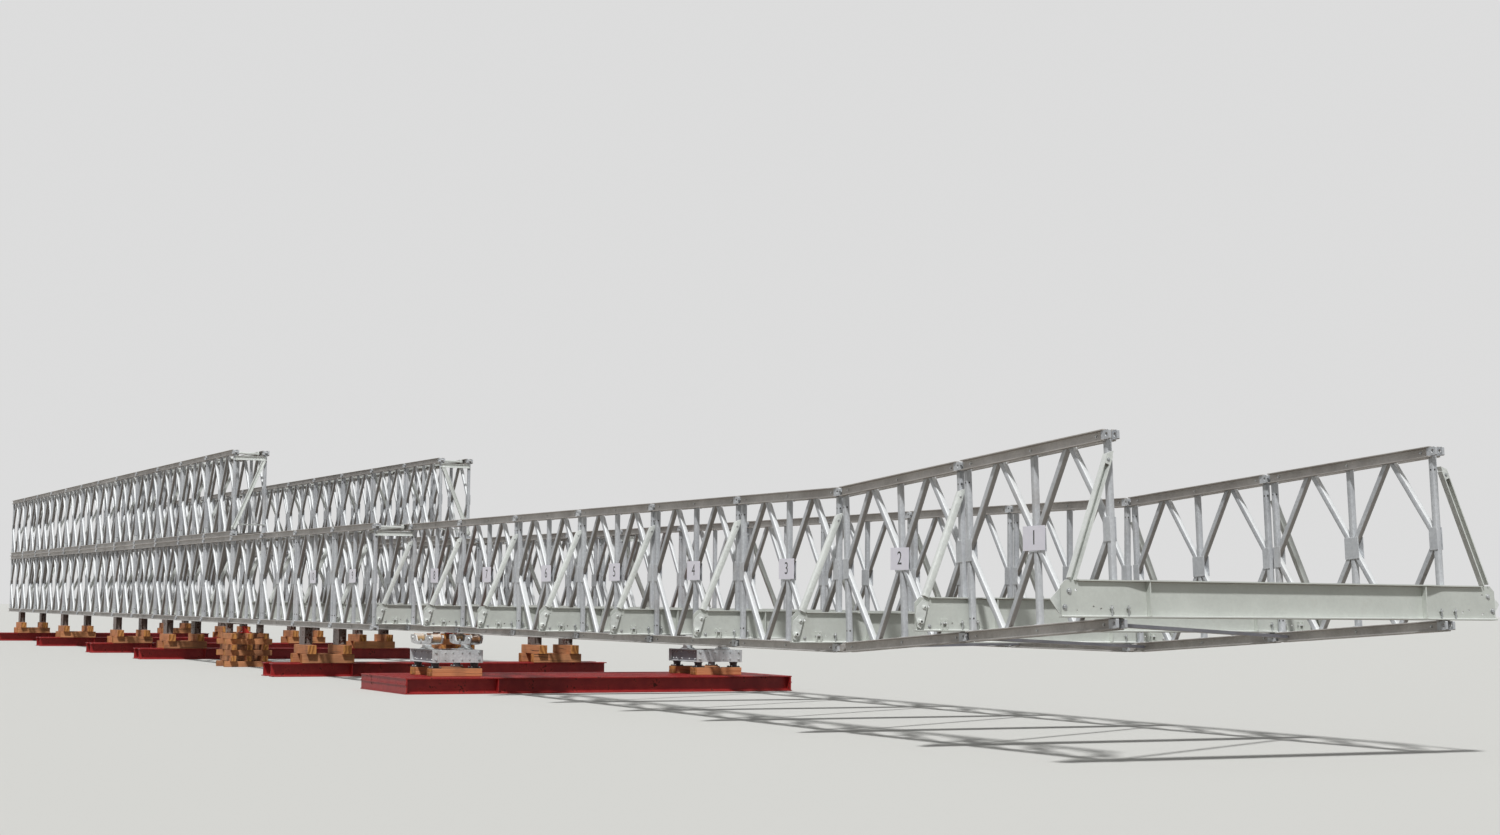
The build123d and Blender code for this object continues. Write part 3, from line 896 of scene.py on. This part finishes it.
tube_corner = 0.006
tube_section = rounded(tube, tube, tube_corner)
pin_half = 0.032
panel_pin = turned(((0.007, 0), (0.009, 0.002), (0.009, 0.062), (0.007, 2 * pin_half)), 14, 1)
jaw_reach = 0.021
jaw_thick = 0.018
jaw_middle = 0.028
pin_shift = 0.011
jaw_outline = [(jaw_reach - 0.004, -0.026), (jaw_reach, -0.022), (jaw_reach, 0.022)]
jaw_outline += [(jaw_reach - 0.004, 0.026), (-0.05, 0.026), (-0.05, -0.026)]
lug = placed(plate(lug_outline(0.022, 0.07, 0.046), 0.014, [circle(0.011, 14)]), upright)
jaw = placed(plate(jaw_outline, jaw_thick, [circle(0.0105, 14)]), upright)


def drilled_hole(radius):
    """Rim of a drilled hole that stands a hair proud of a face on Z 0, its bottom a disc painted near black
    as painted shade.
    """
    rim = radius + 0.0022
    profile = [(rim, 0), (rim, 0.0006), (radius, 0.0008), (radius, 0.0002)]
    shape = turned(profile, 10)
    shape.slots[-1] = 3
    return shape


def panel_ends(level, tail, nose):
    """A lug at a chord's tail end, and at its nose end two thick jaws that hold the next lug's pin."""
    shapes = []
    if tail:
        shapes.append(placed(lug, move(-pin_shift, 0, level) @ mirrored_by(-1, 1)))
    if nose:
        for shift in (-jaw_middle, jaw_middle):
            shapes.append(placed(jaw, move(bay - pin_shift, shift, level)))
        shapes.append(placed(panel_pin, facing("Y", 1, bay - pin_shift, -pin_half, level)))
    return shapes


def panel(tail=True, nose=True, nose_gap=0.027):
    """A panel from its tail joint, towards the nose."""
    middle = pin_height / 2
    quarter = (bay - 2 * post_inset) / 4
    first, middle_x, last = post_inset, post_inset + 2 * quarter, bay - post_inset
    shapes = []
    channel = chord_channel(tail_gap, bay - nose_gap)
    for level in (0, pin_height):
        for flip in (1, -1):
            shapes.append(placed(channel, move(z=level) @ mirrored_by(1, flip)))
        shapes += panel_ends(level, tail, nose)
    post_end, up = 0.026, (0, 1, 0)
    for x in (first, middle_x, last):
        shapes.append(bar(tube_section, (x, 0, -post_end), (x, 0, pin_height + post_end), up))
    diagonal_section = rounded(tube, tube - 0.001, tube_corner)
    foot_rise, head_rise = 0.008, middle + 0.010
    for post_share, chord_share in ((0, 1), (2, 1), (2, 3), (4, 3)):
        for rise in (-1, 1):
            start = (post_inset + post_share * quarter, 0, middle + rise * foot_rise)
            end = (post_inset + chord_share * quarter, 0, middle + rise * head_rise)
            shapes.append(bar(diagonal_section, start, end, up))
    plate_high, plate_thick = 0.135, 0.0045
    wide = placed(chamfered(0.125, plate_high, plate_thick, 0.001), upright)
    narrow = placed(chamfered(0.066, plate_high, plate_thick, 0.001), upright)
    seat = chamfered(0.036, 0.016, 0.004, 0.001)
    post_hole = drilled_hole(0.0062)
    seat_rise, hole_rise = chord_half + 0.0015, chord_half + 0.075
    for sign in (-1, 1):
        face_y = sign * tube / 2
        for kind, x in ((wide, middle_x), (narrow, first + 0.012), (narrow, last - 0.012)):
            shapes.append(placed(kind, move(x, face_y + sign * 0.002, middle)))
        for x in (first, middle_x, last):
            for z in (seat_rise, pin_height - seat_rise):
                shapes.append(placed(seat, move(x, face_y + sign * 0.007, z)))
        for x in (first, last):
            for z in (hole_rise, pin_height - hole_rise):
                shapes.append(placed(post_hole, facing("Y", sign, x, face_y, z)))
                shapes.append(placed(post_hole, facing("X", sign, x + face_y, -0.004, z)))
        for x in (first + 0.07, last - 0.07, middle_x):
            for level in (0, pin_height):
                spot = facing("Y", sign, x, sign * (channel_front - 0.0005), level)
                shapes.append(placed(small_bolt, spot))
    return together(shapes)


storey_rise = pin_height + 0.0643


def joint_frame(joint, storey=0):
    """A joint's bottom pin line on the bridge's middle; the tip bays turn about their last top pin."""
    if joint >= tip_joint:
        return move(joint_x(joint), 0, pin_level + storey * storey_rise)
    hinge = move(joint_x(tip_joint), 0, pin_level + pin_height) @ turn(-nose_tilt, "Y")
    return hinge @ move((tip_joint - joint) * bay, 0, -pin_height)


def bay_frame(number, storey=0):
    """Place of a bay's panel, from its tail joint towards the nose."""
    if number > tip_joint:
        return joint_frame(number, storey)
    return joint_frame(number - 1) @ move(-bay)


inner_y = 1.1775
outer_y = 1.5675
shades = random.Random(5)
whole_panel = panel()
hinge_panel = panel(tail=False)
tip_panel = panel(nose=False, nose_gap=0.026)
truss_runs = {
    "outer_lower_truss": (double_joint, tail_joint, outer_y, 0),
    "inner_lower_truss": (double_joint, tail_joint, inner_y, 0),
    "outer_upper_truss": (storey_joint, tail_joint, outer_y, 1),
    "inner_upper_truss": (storey_joint, tail_joint, inner_y, 1),
    "nose_truss": (tip_joint, double_joint, inner_y, 0),
    "nose_tip_truss": (0, tip_joint, inner_y, 0),
}
for name, (first, last, y, storey) in truss_runs.items():
    for side, sign in sides.items():
        shapes = []
        for number in range(first + 1, last + 1):
            kind = hinge_panel if number in (tip_joint, tail_joint) else whole_panel
            kind = tip_panel if number == 1 else kind
            place = bay_frame(number, storey) @ move(y=sign * y)
            shapes.append(placed(kind, place, shades.uniform(-0.09, 0.09)))
        node = f"{side}_{name}"
        piece_of(f"{node}_panels", shapes, panel_materials, "galvanised_panel_steel", node)


# Nose tip jaws and launching links. Bored jaws stand out of the tip's chords for the next panel, and
# a short block at the bottom of joint 2 holds the last two bays tipped up.
tip_jaw = placed(plate(jaw_outline, jaw_thick, [circle(0.012, 16)]), upright)
hinge_gap = 2 * pin_height * sin(nose_tilt / 2)
block_length = hinge_gap - 0.0035
block = chamfered(block_length, 0.036, 0.052, 0.002)
strap = placed(plate(rectangle(block_length, 0.046), 0.004), upright)
jaws = []
links = []
for sign in sides.values():
    for level in (0, pin_height):
        for shift in (-jaw_middle, jaw_middle):
            jaws.append(placed(tip_jaw, joint_frame(0) @ move(0, sign * inner_y + shift, level)))
    place = joint_frame(tip_joint) @ move(hinge_gap / 2, sign * inner_y) @ turn(-nose_tilt / 2, "Y")
    links.append(placed(block, place))
    for flip in (-1, 1):
        links.append(placed(strap, place @ move(y=flip * 0.0203)))
        for x in (-0.02, 0.02):
            links.append(placed(small_bolt, place @ facing("Y", flip, x, flip * 0.0145)))
piece_of("tip_jaws", jaws, [panel_zinc], "galvanised_panel_steel", "nose_tip_pin_lugs")
piece_of("link_blocks", links, [chord_zinc, bolt_zinc], "galvanised_panel_steel", "launching_links")


# Transoms. Galvanised plate girders at every joint, between the trusses' posts: a web with clipped
# corners and bolt holes, and flanges that are narrow where the posts stand and wide between the girders.
# Hot-dip zinc on thick plate: matt and even, with a faint green cast and hardly any dust.
transom_zinc = galvanised_steel("galvanised_transom_plate", "CCD0CA", "BEC2BC", "A8A298", -0.08, 0.55, 0.2)
transom_bottom = 0.0323
transom_depth = 0.203
transom_half_length = 1.555
top_flange_half = 1.450
flange_thick = 0.007
web_face = 0.0028
flange_steps = ((0.0225, 1.150), (0.0255, 1.115), (0.0410, 1.030), (0.0440, 1.005))


def flange(half_length, holes=()):
    """A flange plate along Y, on Z 0, narrow at both ends."""
    side = [(flange_steps[0][0], half_length)] + list(flange_steps)
    side += flipped(side, 1, -1)
    return plate(side + flipped(side), flange_thick, holes)


def transom(stopped):
    """One transom along Y, in its joint's frame; clips and bolts on the nose side hold its rakers' feet."""
    half, clipped = transom_half_length, 0.032
    low, high = flange_thick, transom_depth - 0.0005
    outline = [(-half, low), (half, low), (half, high - clipped), (half - clipped, high)]
    outline += [(clipped - half, high), (-half, high - clipped)]
    web_holes = [(0.098, 0.148), (0.209, 0.058), (0.258, 0.047)] + ([] if stopped else [(0.100, 0.036)])
    web_holes = [(sign * (half - shift), z) for sign in (-1, 1) for shift, z in web_holes]
    web = placed(plate(outline, 0.006, [circle(0.0065, 10, y, z) for y, z in web_holes]), lengthwise)
    foot_holes = [
        circle(0.005, 10, flip * 0.013, sign * (half - shift))
        for flip in (-1, 1)
        for sign in (-1, 1)
        for shift in (0.030, 0.212)
    ]
    shapes = [web, placed(flange(half, foot_holes), move(z=flange_thick / 2))]
    shapes.append(placed(flange(top_flange_half), move(z=transom_depth - flange_thick / 2)))
    low_weld = prism([(web_face, 0.0068), (0.0075, 0.0068), (web_face, 0.0115)], 0.001 - half, half - 0.001)
    high_weld = [(web_face, 0.1915), (0.0075, 0.1962), (web_face, 0.1962)]
    high_weld = prism(high_weld, -top_flange_half, top_flange_half)
    rib = chamfered(0.037, 0.008, transom_depth - 0.015, 0.0015)
    rib_x, rib_y = 0.0215, 0.99
    stud = turned(((0.0045, 0), (0.0045, 0.060)), 8, 1)
    stud_nut = hexagon_bolt(0.009, 0.010)
    stud_x, stud_shift = 0.0135, 0.055
    for flip in (1, -1):
        for weld in (low_weld, high_weld):
            shapes.append(placed(weld, mirrored_by(flip, 1) @ upright))
        for sign in (-1, 1):
            shapes.append(placed(rib, move(flip * rib_x, sign * rib_y, transom_depth / 2)))
            for y in (inner_y - stud_shift, inner_y + stud_shift):
                shapes.append(placed(stud, move(flip * stud_x, sign * y, 0.006)))
                shapes.append(placed(stud_nut, move(flip * stud_x, sign * y, 0.048)))
    clip_y = 1.36
    clip_side = chamfered(0.018, 0.010, 0.066, 0.001)
    clip_back = chamfered(0.004, 0.026, 0.050, 0.001)
    clip_pin = turned(((0.004, -0.004), (0.007, -0.003), (0.007, 0.047), (0.004, 0.048)), 12, 1)
    stop_bolt = hexagon_bolt(0.009, 0.009)
    for sign in (-1, 1):
        if stopped:
            shapes.append(placed(stop_bolt, facing("X", 1, web_face, sign * (half - 0.097), 0.030)))
        shapes.append(placed(clip_back, move(0.0048, sign * clip_y, 0.033)))
        for shift in (-0.017, 0.017):
            shapes.append(placed(clip_side, move(0.0125, sign * clip_y + shift, 0.0398)))
        shapes.append(placed(clip_pin, facing("Y", 1, 0.014, sign * clip_y - 0.022, 0.046)))
    return placed(together(shapes), move(z=transom_bottom))


def at_joints(shape, first, last):
    """A shape across the bridge at each joint in turn, each of its own shade."""
    joints = range(first, last + 1)
    return [placed(shape, joint_frame(joint), shades.uniform(-0.1, 0.1)) for joint in joints]


girder = transom(True)
girder_materials = [transom_zinc, bolt_zinc]
nose_girders = [placed(transom(False), joint_frame(0) @ mirrored_by(-1, 1))]
nose_girders += at_joints(girder, 1, double_joint - 1)
main_girders = at_joints(girder, double_joint, tail_joint)
transom_slot = "galvanised_transom_steel"
piece_of("nose_plate_girders", nose_girders, girder_materials, transom_slot, "nose_transoms")
piece_of("main_plate_girders", main_girders, girder_materials, transom_slot, "main_transoms")


# Rakers and upper braces. A raker is a galvanised tube that props each truss from the transom's end. Its
# foot plate has an ear past the web's end and two big bolts, and its head is cut to a point.
# Newer hot-dip zinc: paler and cleaner than the panels.
raker_zinc = galvanised_steel("galvanised_rakers", "E6EAE6", "CBCFCB", "ADA59A", -0.06, 0.52, 0.25)
raker_foot = Vector((0, 1.545, 0.085))
raker_thick = 0.038
side_plate_x = 0.0215
raker_materials = [raker_zinc, bolt_zinc, chord_zinc, shaded_bore]
bracing_slot = "galvanised_bracing_steel"
tube_ear = [(0.000, 0.136), (0.008, 0.092), (-0.002, 0.018), (-0.024, 0.006), (-0.046, 0.036)]
tube_ear += [(-0.080, 0.160), (-0.042, 0.176)]
tip_ear = [(0.005, 0.138), (0.057, 0.091), (0.002, 0.017), (-0.024, 0.010), (-0.046, 0.045)]
tip_ear += [(-0.080, 0.160), (-0.040, 0.176)]


def raker(section, width, head_height, ear, boss_height):
    """The raker of the +Y girder, in line with the transom's web, its ear plate on the nose side."""
    head = Vector((0, inner_y + 0.030, head_height))
    along = (head - raker_foot).normalized()
    across = Vector((0, along.z, -along.y))
    shapes = [bar(section, raker_foot + along * 0.165, head, (0, 1, 0))]
    half = width / 2 - 0.001
    point = ((-half, -0.055), (half, -0.055), (half, -0.001), (0.006 - half, 0.030))
    corners = [head + across * aside + along * rise for aside, rise in point]
    cap = plate([(corner.y, corner.z) for corner in corners], raker_thick - 0.002)
    shapes.append(placed(cap, lengthwise))
    web_end, flange_top = transom_half_length, transom_bottom + flange_thick
    plate_face = side_plate_x + 0.0024
    side_plate = plate([(web_end + out, flange_top + rise) for out, rise in ear], 0.005)
    shapes.append(placed(side_plate, move(side_plate_x) @ lengthwise))
    sleeve = turned(((0.013, 0), (0.013, side_plate_x - 0.0055)), 12)
    back_nut = hexagon_bolt(0.012, 0.010)
    bolts = ((-0.022, 0.048, 0.0155, boss_height), (-0.053, 0.134, 0.011, 0.009))
    for out, rise, radius, height in bolts:
        y, z = web_end + out, flange_top + rise
        shapes.append(placed(sleeve, facing("X", 1, web_face, y, z)))
        shapes.append(placed(hexagon_bolt(radius, height, 0), facing("X", 1, plate_face, y, z)))
        bore_place = facing("X", 1, plate_face + height, y, z)
        shapes.append(placed(drilled_hole(radius * 0.45), bore_place))
        shapes.append(placed(back_nut, facing("X", -1, -web_face, y, z)))
    head_bolt = head - along * 0.030
    for sign in (1, -1):
        spot = facing("X", sign, sign * (raker_thick / 2 - 0.0015), head_bolt.y, head_bolt.z)
        shapes.append(placed(hexagon_bolt(0.008, 0.005), spot))
    return together(shapes)


def open_channel(thick, width, wall):
    """Outline of a channel, its web on the -X side and its open side towards +X."""
    half, toe = width / 2, thick / 2
    side = [(-toe, half), (toe, half), (toe, half - wall), (wall - toe, half - wall)]
    return [(x, -y) for x, y in side] + side[::-1]


def slim_brace(width, wall):
    """Channel brace across a girder's two upper trusses, from the outer foot to the inner head."""
    low = Vector((0.010, outer_y, 0.075))
    high = Vector((0.010, inner_y + 0.03, pin_height - 0.105))
    along = (high - low).normalized()
    section = flipped(open_channel(0.018, width, wall))
    shapes = [bar(section, low - along * 0.01, high + along * 0.01, (0, 1, 0))]
    ear = chamfered(0.006, 0.060, 0.050, 0.0015)
    for spot in (low, high):
        shapes.append(placed(ear, Matrix.Translation(spot) @ move(0.012)))
        shapes.append(placed(small_bolt, Matrix.Translation(spot) @ facing("X", -1, 0.0055)))
    return together(shapes)


def end_frame(bars):
    """Cross bars of given height and depth that close a double truss's nose end, between its posts."""
    shapes = []
    across = outer_y - inner_y
    edge = chamfered(0.016, across + 0.026, 0.005, 0.001)
    for z, depth in bars:
        for shift in (-1, 1):
            spot = move(-0.0167, girder_middle, z + shift * (depth / 2 - 0.0025))
            shapes.append(placed(edge, spot))
        web = chamfered(0.005, across + 0.022, depth - 0.004, 0.001)
        shapes.append(placed(web, move(-0.0223, girder_middle, z)))
        for y in (inner_y, outer_y):
            shapes.append(placed(small_bolt, facing("X", 1, -0.0203, y, z)))
    return together(shapes)


def braces_at(shape, joints, storey, sign):
    """A brace at each joint, on its nose side, but on its tail side at the first joint of a run."""
    shapes = []
    for joint in joints:
        flip = mirrored_by(-1 if joint in (0, storey_joint * storey) else 1, sign)
        shapes.append(placed(shape, joint_frame(joint, storey) @ flip, shades.uniform(-0.1, 0.1)))
    return shapes


tip_width = 0.043
tip_channel = flipped(open_channel(raker_thick, tip_width, 0.007))
tip_raker = raker(tip_channel, tip_width, 0.920, tip_ear, 0.012)
tube_width = 0.042
raker_tube = rounded(raker_thick, tube_width, tube_corner)
tube_raker = raker(raker_tube, tube_width, 0.872, tube_ear, 0.018)
upper_brace = slim_brace(0.034, 0.004)
closing_brace = slim_brace(0.050, 0.009)
top_bar = (pin_height - chord_half - 0.040, 0.050)
low_bar = (chord_half + 0.085, 0.016)
for side, sign in sides.items():
    rakers = braces_at(tip_raker, [0], 0, sign)
    rakers += braces_at(tube_raker, range(1, tail_joint + 1), 0, sign)
    piece_of(f"{side}_raker_tubes", rakers, raker_materials, bracing_slot, f"{side}_rakers")
    braces = braces_at(closing_brace, [storey_joint], 1, sign)
    braces += braces_at(upper_brace, range(storey_joint + 1, tail_joint + 1), 1, sign)
    ends = ((storey_joint, 1, (top_bar, low_bar)), (double_joint, 0, (top_bar,)))
    for joint, storey, bars in ends:
        closing = joint_frame(joint, storey) @ mirrored_by(1, sign)
        braces.append(placed(end_frame(bars), closing))
    piece_of(f"{side}_slim_braces", braces, [raker_zinc, bolt_zinc], bracing_slot, f"{side}_upper_braces")


# Top frames. Between the top chords of each double truss lies a flat, welded frame of tubes with one
# diagonal, bolted through the channels' webs at its corners.
frame_half_length = 0.59
frame_half_width = 0.148


def top_frame():
    """Two long tubes, two end tubes and a diagonal, with an ear plate at each corner."""
    inset, up = 0.035, (0, 0, 1)
    section = rounded(0.034, 0.026, 0.004)
    ear = chamfered(0.080, 0.006, 0.058, 0.001)
    shapes = []
    for sign in (-1, 1):
        y = sign * (frame_half_width - 0.0175)
        shapes.append(bar(section, (-frame_half_length, y, 0), (frame_half_length, y, 0), up))
        x = sign * (frame_half_length - 0.017)
        shapes.append(bar(section, (x, inset - frame_half_width, 0), (x, frame_half_width - inset, 0), up))
        for x in (0.05 - frame_half_length, frame_half_length - 0.05):
            shapes.append(placed(ear, move(x, sign * (frame_half_width - 0.003))))
    start = (0.034 - frame_half_length, inset - frame_half_width, 0)
    end = (frame_half_length - 0.034, frame_half_width - inset, 0)
    shapes.append(bar(rounded(0.026, 0.026, 0.004), start, end, up))
    return together(shapes)


flat_frame = top_frame()
for side, sign in sides.items():
    frames = []
    for joint in range(double_joint, tail_joint):
        spot = move(-bay / 2, sign * girder_middle, pin_height) @ mirrored_by(1, sign)
        place = joint_frame(joint, int(joint >= storey_joint)) @ spot
        frames.append(placed(flat_frame, place, shades.uniform(-0.1, 0.1)))
    piece_of(f"{side}_flat_frames", frames, [raker_zinc], bracing_slot, f"{side}_top_frames")


# Sway braces. Under each bay a galvanised channel runs corner to corner between the bottom chords,
# in two halves that are bolted together at the middle and tongued at the ends.
def sway_brace():
    """The brace from the near chord to the far one, towards the tail."""
    reach, end_inset, tongue_inset = inner_y - channel_front - 0.001, 0.11, 0.035
    near_end = Vector((-end_inset, -reach, 0))
    far_end = Vector((end_inset - bay, reach, 0))
    along = (far_end - near_end).normalized()
    slant = turn(atan2(along.y, along.x), "Z")
    half_section = [(0.020, -0.010), (0.020, 0.010), (0.016, 0.010), (0.016, -0.005)]
    section = half_section + flipped(half_section)
    ends = (near_end + along * tongue_inset, far_end - along * tongue_inset)
    centre = Matrix.Translation((near_end + far_end) / 2) @ slant
    splice = chamfered(0.16, 0.030, 0.006, 0.0015)
    tongue = chamfered(0.06, 0.034, 0.008, 0.0015)
    shapes = [bar(section, *ends, (0, 0, 1)), placed(splice, centre @ move(z=-0.0015))]
    for x in (-0.055, -0.02, 0.02, 0.055):
        shapes.append(placed(small_bolt, centre @ move(x, 0, 0.001)))
    shapes += [placed(tongue, Matrix.Translation(spot) @ slant) for spot in ends]
    return together(shapes)


brace = sway_brace()
# The channels take the dark zinc that is painted shade.
sway_materials = [shade_painted_zinc, bolt_zinc]
nose_braces = at_joints(brace, 0, double_joint - 1)
main_braces = at_joints(brace, double_joint, tail_joint - 1)
piece_of("nose_sway_channels", nose_braces, sway_materials, bracing_slot, "nose_sway_braces")
piece_of("main_sway_channels", main_braces, sway_materials, bracing_slot, "main_sway_braces")


# Number sheets. Laminated white sheets with a plain printed number, taped plumb to the middle plates
# of the near girder's first ten bays so that the crew can count them.
def laminated(name, colour, shade):
    """Printed paper under smooth film, with faint ripples a few centimetres across."""
    material, tree, shader = new_material(name)
    place = add_node(tree, "TexCoord", output="Object")
    ripple = add_node(tree, "TexNoise", {"Vector": place, "Scale": 1 / 0.05, "Detail": 2.0})
    tints = {0: ripple, 6: linear(colour), 7: linear(shade)}
    tint = add_node(tree, "Mix", tints, 2, data_type="RGBA")
    bump = add_node(tree, "Bump", {"Height": ripple, "Strength": 0.3, "Distance": 0.003})
    set_inputs(tree, shader, {"Base Color": tint, "Roughness": 0.3, "Normal": bump})
    return material


number_height = 0.12


def printed_number(number):
    """A plain number as a thin raised print, centred on Z 0."""
    curve = bpy.data.curves.new("number", "FONT")
    curve.body = str(number)
    curve.size = number_height
    curve.extrude = 0.0003
    curve.align_x = "CENTER"
    curve.align_y = "CENTER"
    return solid_of(curve, 1)


sheet_count = 10
sheet_width = 0.228
sheet_height = 0.142
sheet_thick = 0.0016
sheet_clear = 0.0048
sheet_rise = 0.012
print_lift = 0.0010
sheet = chamfered(sheet_width, sheet_height, sheet_thick, sheet_thick / 4)
sheets = []
for number in range(1, sheet_count + 1):
    face = tube / 2 + sheet_clear + (inner_y if number <= double_joint else outer_y)
    middle = bay_frame(number) @ Vector((bay / 2, -face, pin_height / 2 + sheet_rise))
    spot = Matrix.Translation(middle) @ upright @ turn(shades.uniform(-0.015, 0.015), "Z")
    sheets += [placed(sheet, spot), placed(printed_number(number), spot @ move(z=print_lift))]
# The paper's faint lilac cast is painted skylight, the tint of shade on white paper.
paper = laminated("laminated_paper", "F8F6FF", "ECEAF6")
ink = laminated("printed_ink", "1C1C1E", "2A2A2C")
piece_of("number_sheets", sheets, [paper, ink], "galvanised_panel_steel")


corners = {"cad": cad_box, "visual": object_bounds()}
{name: [list(corner) for corner in box] for name, box in corners.items()}
